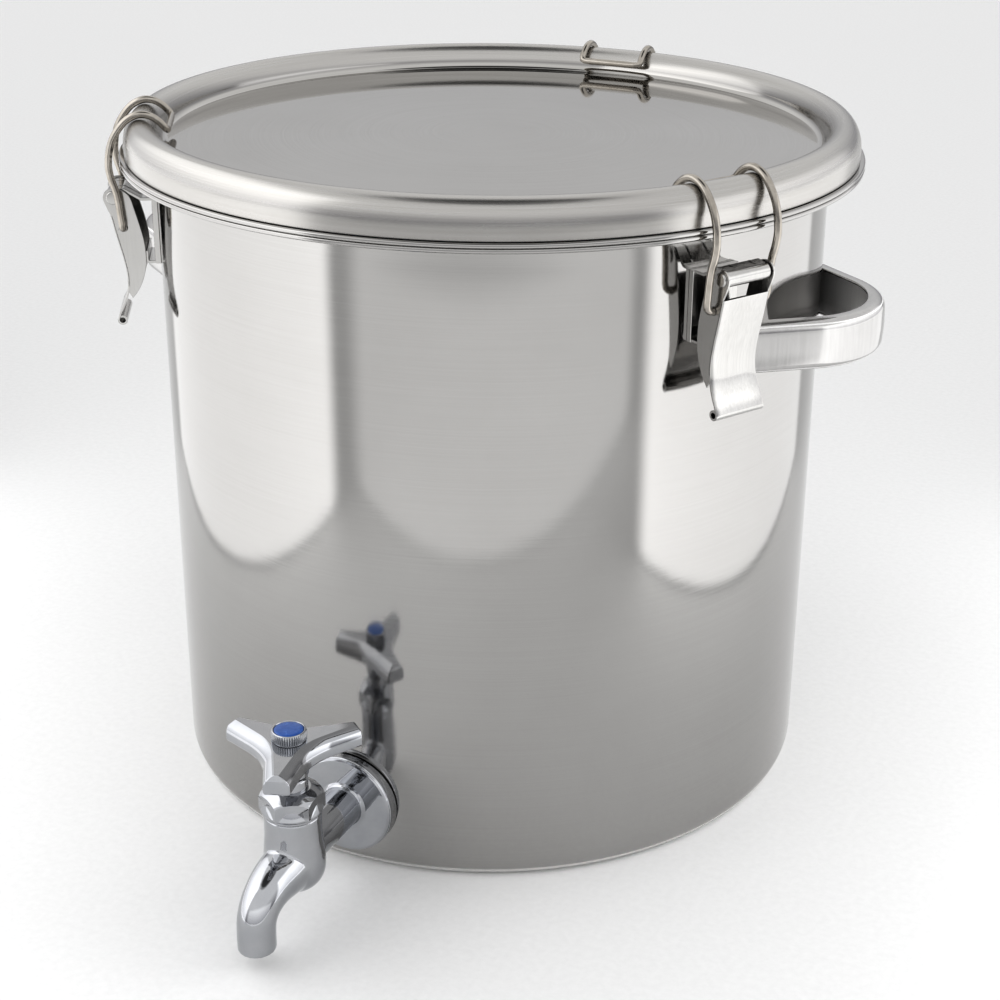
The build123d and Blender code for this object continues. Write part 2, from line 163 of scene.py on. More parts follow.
def smooth_line(points, per_span):
    """Centripetal Catmull-Rom line through points of any size."""
    pts = [Vector(p) for p in points]
    count = len(pts)
    out = []
    for i in range(count - 1):
        p1, p2 = pts[i], pts[i + 1]
        p0 = pts[i - 1] if i else p1 * 2 - p2
        p3 = pts[i + 2] if i + 2 < count else p2 * 2 - p1
        t1 = (p1 - p0).length ** 0.5
        t2 = t1 + (p2 - p1).length ** 0.5
        t3 = t2 + (p3 - p2).length ** 0.5
        for k in range(per_span):
            t = t1 + (t2 - t1) * k / per_span
            a1 = p0 * ((t1 - t) / t1) + p1 * (t / t1)
            a2 = p1 * ((t2 - t) / (t2 - t1)) + p2 * ((t - t1) / (t2 - t1))
            a3 = p2 * ((t3 - t) / (t3 - t2)) + p3 * ((t - t2) / (t3 - t2))
            b1 = a1 * ((t2 - t) / t2) + a2 * (t / t2)
            b2 = a2 * ((t3 - t) / (t3 - t1)) + a3 * ((t - t1) / (t3 - t1))
            out.append(b1 * ((t2 - t) / (t2 - t1)) + b2 * ((t - t1) / (t2 - t1)))
    out.append(pts[-1])
    return out


def slab_faces(rows, width):
    """Faces of two grids of rows x width points that lie face to face, and their four edges."""
    far = rows * width
    faces = []
    for offset in (0, far):
        for i in range(rows - 1):
            for k in range(width - 1):
                a = offset + i * width + k
                quad = (a, a + 1, a + width + 1, a + width)
                faces.append(quad[::-1] if offset else quad)
    for i in range(rows - 1):
        a, b = i * width, (i + 1) * width - 1
        faces.append((a, a + width, a + width + far, a + far))
        faces.append((b, b + far, b + width + far, b + width))
    for k in range(width - 1):
        a = (rows - 1) * width + k
        faces.append((k, k + far, k + 1 + far, k + 1))
        faces.append((a, a + 1, a + 1 + far, a + far))
    return faces


def tube(name, path, radii, sides=20, dome=True):
    """Round bar along path, with one radius or one for each point, and softly domed ends."""
    pts = [Vector(p) for p in path]
    last = len(pts) - 1
    if not isinstance(radii, (list, tuple)):
        radii = [radii] * len(pts)
    tangents = []
    for i in range(len(pts)):
        ahead = pts[min(i + 1, last)] - pts[max(i - 1, 0)]
        tangents.append(ahead.normalized())
    verts, faces = [], []

    def add_ring(centre, n, s, radius):
        for k in range(sides):
            angle = 2 * math.pi * k / sides
            verts.append(tuple(centre + (n * math.cos(angle) + s * math.sin(angle)) * radius))

    dome_rings = [(0.55, 0.0), (0.86, 0.10), (1.0, 0.3)] if dome else [(1.0, 0.0)]
    normal = tangents[0].orthogonal().normalized()
    for i, point in enumerate(pts):
        tangent = tangents[i]
        normal = (normal - tangent * normal.dot(tangent)).normalized()
        side = tangent.cross(normal)
        if i == 0:
            for share, depth in dome_rings:
                add_ring(point + tangent * radii[i] * depth, normal, side, radii[i] * share)
        elif i == last:
            for share, depth in reversed(dome_rings):
                add_ring(point - tangent * radii[i] * depth, normal, side, radii[i] * share)
        else:
            add_ring(point, normal, side, radii[i])
    rows = [range(first, first + sides) for first in range(0, len(verts), sides)]
    for low, high in zip(rows, rows[1:]):
        faces += skin(low, high)
    faces.append(tuple(rows[0])[::-1])
    faces.append(tuple(rows[-1]))
    return mesh_object(name, verts, faces, 40.0)


def prism(name, outline, y_from, y_to, crease_deg=30.0):
    """A closed (x, z) outline pulled along y."""
    count = len(outline)
    verts = [(x, y_from, z) for x, z in outline] + [(x, y_to, z) for x, z in outline]
    faces = [tuple(range(count)), tuple(range(2 * count - 1, count - 1, -1))]
    for k in range(count):
        m = (k + 1) % count
        faces.append((k, k + count, m + count, m))
    obj = mesh_object(name, verts, faces, crease_deg)
    fix_normals(obj)
    return obj


def fix_normals(obj):
    import bmesh
    bm = bmesh.new()
    bm.from_mesh(obj.data)
    bmesh.ops.recalc_face_normals(bm, faces=bm.faces)
    bm.to_mesh(obj.data)
    bm.free()


def bevel(obj, width, segments=3, angle_deg=30.0):
    mod = obj.modifiers.new("bevel", "BEVEL")
    mod.width = width * MM
    mod.segments = segments
    mod.limit_method = "ANGLE"
    mod.angle_limit = math.radians(angle_deg)
    mod.harden_normals = True
    mod.use_clamp_overlap = True
    return obj


def join(name, parts):
    """One piece from several meshes that meet."""
    base = parts[0]
    with bpy.context.temp_override(
        active_object=base, selected_editable_objects=parts, selected_objects=parts, object=base
    ):
        bpy.ops.object.join()
    base.name = name
    base.data.name = name
    return base


def apply_modifiers(obj):
    graph = bpy.context.evaluated_depsgraph_get()
    mesh = bpy.data.meshes.new_from_object(obj.evaluated_get(graph))
    old = obj.data
    obj.modifiers.clear()
    obj.data = mesh
    bpy.data.meshes.remove(old)
    obj.data.name = obj.name
    return obj


def boolean(obj, other, operation):
    mod = obj.modifiers.new("boolean", "BOOLEAN")
    mod.operation = operation
    mod.solver = "EXACT"
    mod.object = other
    apply_modifiers(obj)
    bpy.data.objects.remove(other)
    return obj


def bore(obj, radius, low, high, axis_x=0.0, steps=64, shoulder=0.0, closed=True):
    """Cut an upright hole from low to high."""
    outline = rounded([(0, low, 0), (radius, low, 0), (radius, high, shoulder), (0, high, 0)])
    return boolean(obj, lathe("bore", outline, steps=steps, axis_x=axis_x, closed=closed), "DIFFERENCE")


# ---------------------------------------------------------------- materials
class Nodes:
    """Small helper around a material's node tree."""

    def __init__(self, name):
        self.material = bpy.data.materials.new(name)
        self.material.use_nodes = True
        self.tree = self.material.node_tree
        self.shader = self.tree.nodes["Principled BSDF"]
        coords = self.tree.nodes.new("ShaderNodeTexCoord")
        self.position = coords.outputs["Object"]
        split = self.tree.nodes.new("ShaderNodeSeparateXYZ")
        self.tree.links.new(self.position, split.inputs[0])
        self.x, self.y, self.z = split.outputs

    def set(self, **values):
        for key, value in values.items():
            self.shader.inputs[key.replace("_", " ")].default_value = value

    def link(self, output, socket):
        self.tree.links.new(output, self.shader.inputs[socket])

    def feed(self, sockets, values):
        """Set a socket that is given a number, and link one that is given an output."""
        for socket, value in zip(sockets, values):
            if isinstance(value, (int, float)):
                socket.default_value = value
            else:
                self.tree.links.new(value, socket)

    def math(self, operation, a, b=0.0, c=0.0):
        node = self.tree.nodes.new("ShaderNodeMath")
        node.operation = operation
        self.feed(node.inputs, (a, b, c))
        return node.outputs[0]

    def vector(self, x, y, z):
        node = self.tree.nodes.new("ShaderNodeCombineXYZ")
        self.feed(node.inputs, (x, y, z))
        return node.outputs[0]

    def stretched(self, along_x, along_y, along_z, third=None):
        """Coordinates scaled unevenly, so that noise runs in streaks."""
        axes = (self.x, self.y, self.z if third is None else third)
        scales = (along_x, along_y, along_z)
        return self.vector(*(self.math("MULTIPLY", axis, scale) for axis, scale in zip(axes, scales)))

    def noise(self, vector, scale=1.0, detail=4.0, roughness=0.6):
        node = self.tree.nodes.new("ShaderNodeTexNoise")
        node.inputs["Scale"].default_value = scale
        node.inputs["Detail"].default_value = detail
        node.inputs["Roughness"].default_value = roughness
        self.tree.links.new(vector, node.inputs["Vector"])
        return node.outputs[0]

    def remap(self, value, low, high, to_low, to_high):
        node = self.tree.nodes.new("ShaderNodeMapRange")
        node.inputs["From Min"].default_value = low
        node.inputs["From Max"].default_value = high
        node.inputs["To Min"].default_value = to_low
        node.inputs["To Max"].default_value = to_high
        self.tree.links.new(value, node.inputs["Value"])
        return node.outputs[0]

    def ramp(self, value, stops):
        node = self.tree.nodes.new("ShaderNodeValToRGB")
        ramp = node.color_ramp
        while len(ramp.elements) < len(stops):
            ramp.elements.new(0.5)
        for element, (place, colour) in zip(ramp.elements, stops):
            element.position = place
            element.color = (*colour, 1.0)
        self.tree.links.new(value, node.inputs[0])
        return node.outputs[0]

    def mix(self, factor, a, b, colour=False):
        node = self.tree.nodes.new("ShaderNodeMix")
        node.data_type = "RGBA" if colour else "FLOAT"
        first = 6 if colour else 2
        self.feed((node.inputs[0], node.inputs[first], node.inputs[first + 1]), (factor, a, b))
        return node.outputs[2 if colour else 0]

    def bump(self, height, strength, distance, under=None):
        node = self.tree.nodes.new("ShaderNodeBump")
        node.inputs["Strength"].default_value = strength
        node.inputs["Distance"].default_value = distance
        self.tree.links.new(height, node.inputs["Height"])
        if under is not None:
            self.tree.links.new(under, node.inputs["Normal"])
        return node.outputs[0]

    def radius(self):
        x2 = self.math("MULTIPLY", self.x, self.x)
        y2 = self.math("MULTIPLY", self.y, self.y)
        return self.math("SQRT", self.math("ADD", x2, y2))

    def edge_wear(self, low=0.50, high=0.58):
        """How far a place stands out as an edge, from the mesh's pointiness."""
        geometry = self.tree.nodes.new("ShaderNodeNewGeometry")
        return self.remap(geometry.outputs["Pointiness"], low, high, 0.0, 1.0)


def polished_wall():
    """Bright sheet with faint level polishing marks and a slight waviness, and an inside painted lighter to
    stand in for light.
    """
    n = Nodes("polished_sheet")
    n.set(Metallic=1.0)
    streaks = n.noise(n.stretched(9.0, 9.0, 2600.0), 1.0, 6.0, 0.65)
    broad = n.noise(n.stretched(5.0, 5.0, 60.0), 1.0, 3.0, 0.5)
    waves = n.noise(n.stretched(14.0, 14.0, 3.0), 1.0, 1.0, 0.4)
    smudge = n.noise(n.position, 11.0, 5.0, 0.6)
    tone = n.math("ADD", n.math("MULTIPLY", streaks, 0.5), n.math("MULTIPLY", smudge, 0.5))
    outside = n.remap(n.radius(), 0.1500, 0.1505, 0.0, 1.0)
    # painted light: the wall's inside gets a much lighter base colour than the outside, standing in for the
    # light its dark interior would get; its extra roughness below is a rougher finish
    satin = n.ramp(tone, [(0.30, (0.80, 0.795, 0.785)), (0.72, (0.88, 0.875, 0.865))])
    bright = n.ramp(tone, [(0.30, (0.425, 0.418, 0.410)), (0.72, (0.470, 0.465, 0.458))])
    n.link(n.mix(outside, satin, bright, colour=True), "Base Color")
    rough = n.math("ADD", n.remap(streaks, 0.3, 0.7, 0.045, 0.105), n.remap(smudge, 0.3, 0.75, -0.008, 0.02))
    rough = n.math("ADD", rough, n.math("MULTIPLY", n.math("SUBTRACT", 1.0, outside), 0.22))
    n.link(rough, "Roughness")
    slow = n.bump(waves, 0.22, 0.0012)
    mid = n.bump(broad, 0.05, 0.0004, slow)
    n.link(n.bump(streaks, 0.05, 0.00012, mid), "Normal")
    return n.material


def lid_steel():
    """Bright flat plate inside a crown that is turned to a satin finish in circles."""
    n = Nodes("lid_sheet")
    n.set(Metallic=1.0)
    radius = n.radius()
    crown = n.remap(radius, 0.1475, 0.1500, 0.0, 1.0)
    rings = n.noise(n.stretched(10.0, 10.0, 2400.0, radius), 1.0, 6.0, 0.7)
    bands = n.noise(n.stretched(7.0, 7.0, 900.0), 1.0, 4.0, 0.6)
    marks = n.mix(0.5, rings, bands)
    smudge = n.noise(n.position, 9.0, 4.0, 0.55)
    n.link(n.ramp(marks, [(0.32, (0.440, 0.430, 0.415)), (0.70, (0.520, 0.512, 0.500))]), "Base Color")
    plate_rough = n.remap(smudge, 0.3, 0.75, 0.035, 0.075)
    crown_rough = n.remap(marks, 0.3, 0.7, 0.20, 0.31)
    n.link(n.mix(crown, plate_rough, crown_rough), "Roughness")
    sheet = n.noise(n.position, 16.0, 1.0, 0.4)
    slow = n.bump(sheet, 0.06, 0.0008)
    n.link(n.bump(n.math("MULTIPLY", marks, crown), 0.10, 0.00025, slow), "Normal")
    return n.material


def pressed_steel(name, dark, light, rough_low, rough_high, grain=1500.0, metallic=1.0):
    """Bright pressed strip with fine drawn lines and slightly brighter edges."""
    n = Nodes(name)
    n.set(Metallic=metallic)
    lines = n.noise(n.stretched(grain, grain, 35.0), 1.0, 4.0, 0.6)
    cloud = n.noise(n.position, 60.0, 2.0, 0.5)
    tone = n.math("ADD", n.math("MULTIPLY", lines, 0.6), n.math("MULTIPLY", cloud, 0.4))
    edge = n.edge_wear()
    tone = n.math("ADD", tone, n.math("MULTIPLY", edge, 0.12))
    n.link(n.ramp(tone, [(0.28, dark), (0.74, light)]), "Base Color")
    rough = n.remap(tone, 0.3, 0.7, rough_low, rough_high)
    n.link(n.math("ADD", rough, n.math("MULTIPLY", edge, 0.05)), "Roughness")
    slow = n.bump(cloud, 0.03, 0.0002)
    n.link(n.bump(lines, 0.04, 0.00005, slow), "Normal")
    return n.material


def wire_steel():
    """Drawn spring wire, a little warm, with small rubs and a cloudy tone."""
    n = Nodes("spring_wire")
    n.set(Metallic=1.0)
    rub = n.noise(n.position, 260.0, 4.0, 0.6)
    cloud = n.noise(n.position, 40.0, 2.0, 0.5)
    tone = n.math("ADD", n.math("MULTIPLY", rub, 0.5), n.math("MULTIPLY", cloud, 0.5))
    n.link(n.ramp(tone, [(0.30, (0.340, 0.315, 0.280)), (0.70, (0.500, 0.475, 0.440))]), "Base Color")
    n.link(n.remap(rub, 0.3, 0.7, 0.11, 0.22), "Roughness")
    n.link(n.bump(rub, 0.08, 0.00008), "Normal")
    return n.material


def chrome():
    """Plated casting: almost a mirror, with a faint orange peel and handling marks."""
    n = Nodes("chrome_plate")
    n.set(Metallic=1.0)
    peel = n.noise(n.position, 420.0, 2.0, 0.5)
    cloud = n.noise(n.position, 45.0, 4.0, 0.6)
    n.link(n.ramp(cloud, [(0.30, (0.43, 0.44, 0.46)), (0.72, (0.50, 0.505, 0.52))]), "Base Color")
    edge = n.edge_wear()
    rough = n.remap(cloud, 0.3, 0.75, 0.025, 0.065)
    n.link(n.math("ADD", rough, n.math("MULTIPLY", edge, 0.05)), "Roughness")
    n.link(n.bump(peel, 0.012, 0.0001), "Normal")
    return n.material


def machined_brass():
    n = Nodes("machined_brass")
    n.set(Metallic=1.0)
    turned = n.noise(n.stretched(60.0, 1800.0, 60.0), 1.0, 3.0, 0.6)
    cloud = n.noise(n.position, 120.0, 3.0, 0.6)
    n.link(n.ramp(cloud, [(0.3, (0.50, 0.35, 0.14)), (0.7, (0.68, 0.50, 0.24))]), "Base Color")
    n.link(n.remap(turned, 0.3, 0.7, 0.22, 0.38), "Roughness")
    n.link(n.bump(turned, 0.10, 0.0001), "Normal")
    return n.material


def rubber():
    n = Nodes("black_rubber")
    grain = n.noise(n.position, 900.0, 4.0, 0.6)
    dust = n.noise(n.position, 70.0, 4.0, 0.6)
    n.link(n.ramp(dust, [(0.35, (0.012, 0.012, 0.012)), (0.75, (0.040, 0.040, 0.042))]), "Base Color")
    n.link(n.remap(grain, 0.3, 0.7, 0.48, 0.66), "Roughness")
    n.link(n.bump(grain, 0.22, 0.00012), "Normal")
    return n.material


def silicone():
    n = Nodes("silicone_seal")
    n.set(Subsurface_Weight=0.25, Subsurface_Scale=0.003)
    grain = n.noise(n.position, 500.0, 3.0, 0.55)
    cloud = n.noise(n.position, 30.0, 3.0, 0.5)
    n.link(n.ramp(cloud, [(0.3, (0.62, 0.62, 0.60)), (0.75, (0.74, 0.74, 0.73))]), "Base Color")
    n.link(n.remap(grain, 0.3, 0.7, 0.34, 0.48), "Roughness")
    n.link(n.bump(grain, 0.12, 0.0001), "Normal")
    return n.material


def blue_plastic():
    """Glossy domed insert with a slight mottle under a clear coat."""
    n = Nodes("index_blue")
    n.set(Coat_Weight=0.5, Coat_Roughness=0.06)
    mottle = n.noise(n.position, 380.0, 4.0, 0.6)
    n.link(n.ramp(mottle, [(0.30, (0.022, 0.092, 0.340)), (0.70, (0.046, 0.150, 0.455))]), "Base Color")
    n.link(n.remap(mottle, 0.3, 0.7, 0.16, 0.30), "Roughness")
    n.link(n.bump(mottle, 0.05, 0.0001), "Normal")
    return n.material


WALL_MAT = polished_wall()
LID_MAT = lid_steel()
CLIP_MAT = pressed_steel("clip_strip", (0.46, 0.455, 0.445), (0.54, 0.535, 0.525), 0.10, 0.17)
HANDLE_MAT = pressed_steel("handle_strip", (0.46, 0.455, 0.45), (0.53, 0.525, 0.52), 0.08, 0.14, 700.0)
# painted light: the handles' inside faces get a much lighter, partly non-metallic copy of the strip, standing
# in for light the dark channel would get; the higher roughness is a rougher finish
HANDLE_INSIDE_PAINTED_LIGHT_MAT = pressed_steel(
    "handle_inside_painted_light", (0.80, 0.795, 0.79), (0.90, 0.895, 0.89), 0.34, 0.46, grain=700.0, metallic=0.6
)
WIRE_MAT = wire_steel()
CHROME_MAT = chrome()
BRASS_MAT = machined_brass()
RUBBER_MAT = rubber()
SEAL_MAT = silicone()
BLUE_MAT = blue_plastic()


def finish_piece(obj, material, body, slot, *nodes):
    obj.data.materials.clear()
    obj.data.materials.append(material)
    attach(obj, body)
    if nodes:
        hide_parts(*nodes)
    return obj


def finish_tap_piece(obj, material, body, slot, *nodes):
    """Turn a piece drawn in the wall frame to the tap's azimuth, then finish it."""
    return finish_piece(turn_to(obj, TAP_AZIMUTH), material, body, slot, *nodes)


# ---------------------------------------------------------------- vessel
wall_profile = rounded(
    [
        (0, 0, 0),
        (BODY_R, 0, 8.0),
        (BODY_R, 291.6, 1.5),
        (166.3, 291.6, 0.9),
        (166.3, 293.6, 0.9),
        (150.0, 293.6, 2.4),
        (150.0, 1.0, 7.0),
        (0, 1.0, 0),
    ]
)
vessel = lathe("vessel_body", subdivide(wall_profile, 12.0), steps=256, closed=False)
finish_piece(vessel, WALL_MAT, "tank", "polished", "vessel_base", "vessel_wall", "rim_flange")

hem_profile = rounded(
    [(155.5, 289.6, 0.4), (166.3, 289.6, 0.9), (166.3, 291.58, 0.8), (155.5, 291.58, 0)], closed=True
)
hem = lathe("rim_bead", hem_profile, steps=256)
finish_piece(hem, WALL_MAT, "tank", "polished", "rim_hem")


# ---------------------------------------------------------------- side handles
def side_handle(name, azimuth, node):
    """Channel strip bent into a loop: rolled lips, a slightly crowned band, and a rougher inside painted
    lighter to stand in for light.
    """
    bend_r, bend_x, leg_deg, mid_z = 44.0, 140.0, 52.8, 231.4
    half = math.radians(leg_deg)
    section = rounded(
        [
            (-8.3, 10.95, 0.6),
            (-8.3, 9.7, 0.6),
            (-1.5, 9.7, 2.7),
            (-1.5, -9.7, 2.7),
            (-8.3, -9.7, 0.6),
            (-8.3, -10.95, 0.6),
            (-0.9, -10.95, 4.2),
            (-0.05, 0.0, 60.0),
            (-0.9, 10.95, 4.2),
        ],
        closed=True,
    )
    stations = []
    leg = Vector((-math.sin(half), math.cos(half), 0))
    foot = Vector((bend_x + bend_r * math.cos(half), bend_r * math.sin(half), mid_z))
    arc_steps = 40
    for k in range(arc_steps + 1):
        angle = -half + 2 * half * k / arc_steps
        out = Vector((math.cos(angle), math.sin(angle), 0))
        stations.append((Vector((bend_x, 0, mid_z)) + out * bend_r, out))
    verts, faces = [], []
    for centre, out in stations:
        for u, v in section:
            verts.append(centre + out * u + Vector((0, 0, v)))
    count = len(section)

    def leg_ring(sign):
        """Section points run along the straight leg until they meet the wall."""
        direction = Vector((leg.x, leg.y * sign, 0))
        out = Vector((math.cos(half), sign * math.sin(half), 0))
        centre = Vector((foot.x, foot.y * sign, mid_z))
        ring = []
        for u, v in section:
            p = centre + out * u + Vector((0, 0, v))
            b = p.x * direction.x + p.y * direction.y
            c = p.x ** 2 + p.y ** 2 - (BODY_R + WALL_GAP) ** 2
            root = math.sqrt(max(b * b - c, 0.0))
            near, far = -b - root, -b + root
            ring.append(p + direction * (near if near > 0 else far))
        return ring

    verts = leg_ring(-1) + verts + leg_ring(1)
    rings = len(verts) // count
    for i in range(rings - 1):
        for k in range(count):
            m = (k + 1) % count
            faces.append((i * count + k, (i + 1) * count + k, (i + 1) * count + m, i * count + m))
    faces.append(tuple(range(count)))
    faces.append(tuple(range((rings - 1) * count, rings * count))[::-1])
    obj = mesh_object(name, verts, faces, 40.0)
    fix_normals(obj)
    strip_inside = [
        max(section[k][0], section[(k + 1) % count][0]) < -1.2
        and max(abs(section[k][1]), abs(section[(k + 1) % count][1])) < 9.9
        for k in range(count)
    ]
    turn_to(obj, azimuth)
    finish_piece(obj, HANDLE_MAT, "tank", "polished", node)
    # painted light: the channel's inside faces take the lighter copy of the strip
    obj.data.materials.append(HANDLE_INSIDE_PAINTED_LIGHT_MAT)
    for face in obj.data.polygons[: (rings - 1) * count]:
        face.material_index = int(strip_inside[face.index % count])
    return obj


side_handle("side_handle_right", 0.0, "handle_right")
side_handle("side_handle_left", 180.0, "handle_left")

# ---------------------------------------------------------------- lid
CROWN_X, CROWN_Z, CROWN_A, CROWN_B = 156.0, 298.2, 8.04, 11.3


def crown_arc(shrink, first_deg, last_deg, steps=30):
    pts = []
    for k in range(steps + 1):
        angle = math.radians(first_deg + (last_deg - first_deg) * k / steps)
        across, up = (CROWN_A - shrink) * math.cos(angle), (CROWN_B - shrink) * math.sin(angle)
        pts.append((CROWN_X + across, CROWN_Z + up))
    return pts


outer = [(164.04, 293.95), (164.04, 296.0)] + crown_arc(0.0, 0.0, 162.0)
outer += [(148.20, 300.4), (147.55, 299.35), (146.6, 298.62), (145.6, 298.32), (144.6, 298.28)]
plate_rings = [(r, 298.28) for r in (143.0, 140.0, 130.0, 110.0, 85.0, 60.0, 35.0, 12.0)]
inner = [(r, 297.28) for r in (12.0, 35.0, 60.0, 85.0, 110.0, 130.0, 140.0, 145.2)]
inner += [(146.9, 297.6), (148.3, 298.6), (149.1, 299.9)]
inner += crown_arc(1.0, 162.0, 0.0) + [(163.04, 296.0), (163.04, 293.95)]
lid_profile = outer + plate_rings + [(0.0, 298.28), (0.0, 297.28)] + inner
lid = lathe("lid_cover", lid_profile, steps=256, crease_deg=50.0)
finish_piece(lid, LID_MAT, "lid", "lid_steel", "lid")

seal_profile = rounded(
    [
        (151.6, 293.6, 1.0),
        (162.6, 293.6, 0.4),
        (162.6, 300.4, 2.0),
        (158.8, 305.0, 2.2),
        (153.2, 305.0, 2.2),
        (149.9, 300.9, 1.6),
    ],
    closed=True,
)
seal = lathe("lid_seal", seal_profile, steps=256)
finish_piece(seal, SEAL_MAT, "lid", "seal", "lid_gasket")

# ---------------------------------------------------------------- toggle clips
PLATE_LINE = [
    (171.5, 265.6), (169.7, 256.5), (167.4, 246.2), (166.2, 237.8), (166.6, 231.2), (168.6, 225.2),
    (170.9, 220.6), (171.8, 217.8),
]
EAR_BACK = [
    (172.9, 269.6), (174.1, 273.9), (172.9, 276.9), (169.8, 278.1), (166.0, 277.3), (162.9, 274.7),
    (160.9, 268.4), (158.7, 259.8), (157.4, 252.5), (157.2, 245.0), (158.2, 239.0), (160.8, 232.4),
    (164.2, 227.6),
]


def clip_lever(name, azimuth):
    """Pressed channel: a bowed front, two ears folded back round the pin, a curled end."""
    front = [Vector(p) for p in smooth_line(PLATE_LINE, 6)]
    curl_centre = Vector((169.5, 217.6))
    curl = []
    first = front[-1] - curl_centre
    for k in range(1, 19):
        turned = first.copy()
        turned.rotate(Matrix.Rotation(-math.radians(17.0 * k), 2))
        curl.append(curl_centre + turned * (1.0 - 0.004 * k))
    line = front + curl
    thick = 0.95
    back = []
    for i, p in enumerate(line):
        along = (line[min(i + 1, len(line) - 1)] - line[max(i - 1, 0)]).normalized()
        back.append(p + Vector((along.y, -along.x)) * thick)
    across = [-1.0, -0.985, -0.95, -0.5, 0.0, 0.5, 0.95, 0.985, 1.0]
    verts = []
    for side, sheet in ((0, line), (1, back)):
        for i, p in enumerate(sheet):
            share = min(max((p.y - 217.0) / 16.0, 0.0), 1.0)
            half = 12.65 - 0.5 * share
            for t in across:
                drop = 0.35 * max(abs(t) - 0.95, 0.0) / 0.05 if side == 0 and i < len(front) else 0.0
                verts.append((p.x - drop, t * half, p.y))
    plate = mesh_object(name, verts, slab_faces(len(line), len(across)), 40.0)
    fix_normals(plate)

    parts = [plate]
    ear_front = [tuple(p - Vector((0.35, 0))) for p in smooth_line(PLATE_LINE[:5], 5)][::-1]
    ear_outline = [tuple(p) for p in smooth_line([(171.3, 266.0)] + EAR_BACK, 5)] + ear_front
    for sign in (-1, 1):
        low, high = sorted((sign * 11.3, sign * 12.15))
        ear = prism(f"{name}_ear", ear_outline, low, high)
        cutter = lathe_y("cut", rounded([(0, -15, 0), (1.72, -15, 0), (1.72, 15, 0), (0, 15, 0)]), BAIL_EYE)
        boolean(ear, cutter, "DIFFERENCE")
        parts.append(apply_modifiers(bevel(ear, 0.22, 2)))
    lever = join(name, parts)
    lever.data.shade_smooth()
    lever.data.set_sharp_from_angle(angle=math.radians(24.0))
    turn_to(lever, azimuth)
    return lever


def clip_base(name, azimuth):
    """Spot-welded back plate, slit arm curled round the pin, and a turned-up foot."""
    arm_outline = rounded(
        [
            (151.6, 273.4, 0.4),
            (157.6, 273.4, 2.0),
            (165.2, 277.9, 2.0),
            (169.8, 277.25, 0),
            (169.8, 276.1, 0),
            (165.5, 276.6, 1.0),
            (158.0, 272.1, 1.0),
            (151.6, 272.1, 0),
        ],
        closed=True,
    )
    parts = []
    for low, high in ((-10.85, -5.7), (-4.7, 4.7), (5.7, 10.85)):
        parts.append(apply_modifiers(bevel(prism(f"{name}_arm", arm_outline, low, high), 0.18, 2)))
    for low, high in ((-5.8, -4.6), (4.6, 5.8)):
        near = [(x, z) for x, z in arm_outline if x < 158.5]
        parts.append(prism(f"{name}_web", near, low, high))
    foot_outline = rounded(
        [
            (151.6, 243.4, 0),
            (157.4, 243.4, 1.8),
            (157.4, 249.2, 0.4),
            (156.2, 249.2, 0.4),
            (156.2, 244.6, 0.6),
            (151.6, 244.6, 0),
        ],
        closed=True,
    )
    parts.append(apply_modifiers(bevel(prism(f"{name}_foot", foot_outline, -10.85, 10.85), 0.18, 2)))
    barrel = rounded(
        [(2.2, -10.85, 0.15), (3.38, -10.85, 0.3), (3.38, 10.85, 0.3), (2.2, 10.85, 0.15)], closed=True
    )
    parts.append(lathe_y(f"{name}_barrel", barrel, PIVOT, steps=48))
    verts = []
    columns, rows = 16, 12
    for layer in (0, 1):
        for i in range(rows + 1):
            z = 243.5 + 29.8 * i / rows
            for k in range(columns + 1):
                y = -12.0 + 24.0 * k / columns
                inset = math.sqrt(BODY_R ** 2 - y * y)
                dish = 0.5 * math.exp(-((y / 6.0) ** 2 + ((z - 258.0) / 6.0) ** 2))
                x = inset + WALL_GAP if layer == 0 else 153.15 - dish
                verts.append((x, y, z))
    back = mesh_object(f"{name}_back", verts, slab_faces(rows + 1, columns + 1), 40.0)
    fix_normals(back)
    parts.append(apply_modifiers(bevel(back, 0.3, 3)))
    base = join(name, parts)
    turn_to(base, azimuth)
    return base


def clip_pin(name, azimuth):
    head_r, pin_r, head_y, end_y = 3.0, 2.1, 12.2, 13.0
    half = [(0, -end_y, 0), (head_r, -end_y, 0.6), (head_r, -head_y, 0), (pin_r, -head_y, 0)]
    profile = rounded(half + [(r, -y, fillet) for r, y, fillet in reversed(half)])
    pin = lathe_y(name, profile, PIVOT, steps=40)
    turn_to(pin, azimuth)
    return pin


LEG_LINE = [
    (166.2, 263.4), (167.6, 276.8), (169.6, 284.2), (170.15, 290.0), (168.4, 298.9),
    (165.0, 304.9), (160.9, 309.2), (155.9, 311.35), (151.0, 310.8), (147.1, 308.3),
    (144.9, 305.9),
]


def clip_bail(name, azimuth):
    """Spring wire: turned into both ears, up and over the crown, and straight across inside it."""
    leg_y = 15.9
    leg = [Vector((p[0], leg_y, p[1])) for p in smooth_line(LEG_LINE, 6)]
    eye = Vector((BAIL_EYE[0], 10.2, BAIL_EYE[1]))
    low_bend = [
        eye,
        Vector((BAIL_EYE[0], 12.9, BAIL_EYE[1])),
        Vector((BAIL_EYE[0] + 0.03, 14.4, BAIL_EYE[1] + 0.45)),
        Vector((BAIL_EYE[0] + 0.1, 15.45, BAIL_EYE[1] + 1.5)),
    ]
    top_bend = [
        Vector((144.15, 15.4, 304.95)),
        Vector((143.85, 14.3, 304.55)),
        Vector((143.8, 12.9, 304.45)),
        Vector((143.8, 9.0, 304.45)),
        Vector((143.8, 0.0, 304.45)),
    ]
    half = low_bend + leg + top_bend
    other = [Vector((p.x, -p.y, p.z)) for p in reversed(half[:-1])]
    bail = tube(name, half + other, 1.6, sides=18)
    turn_to(bail, azimuth)
    return bail


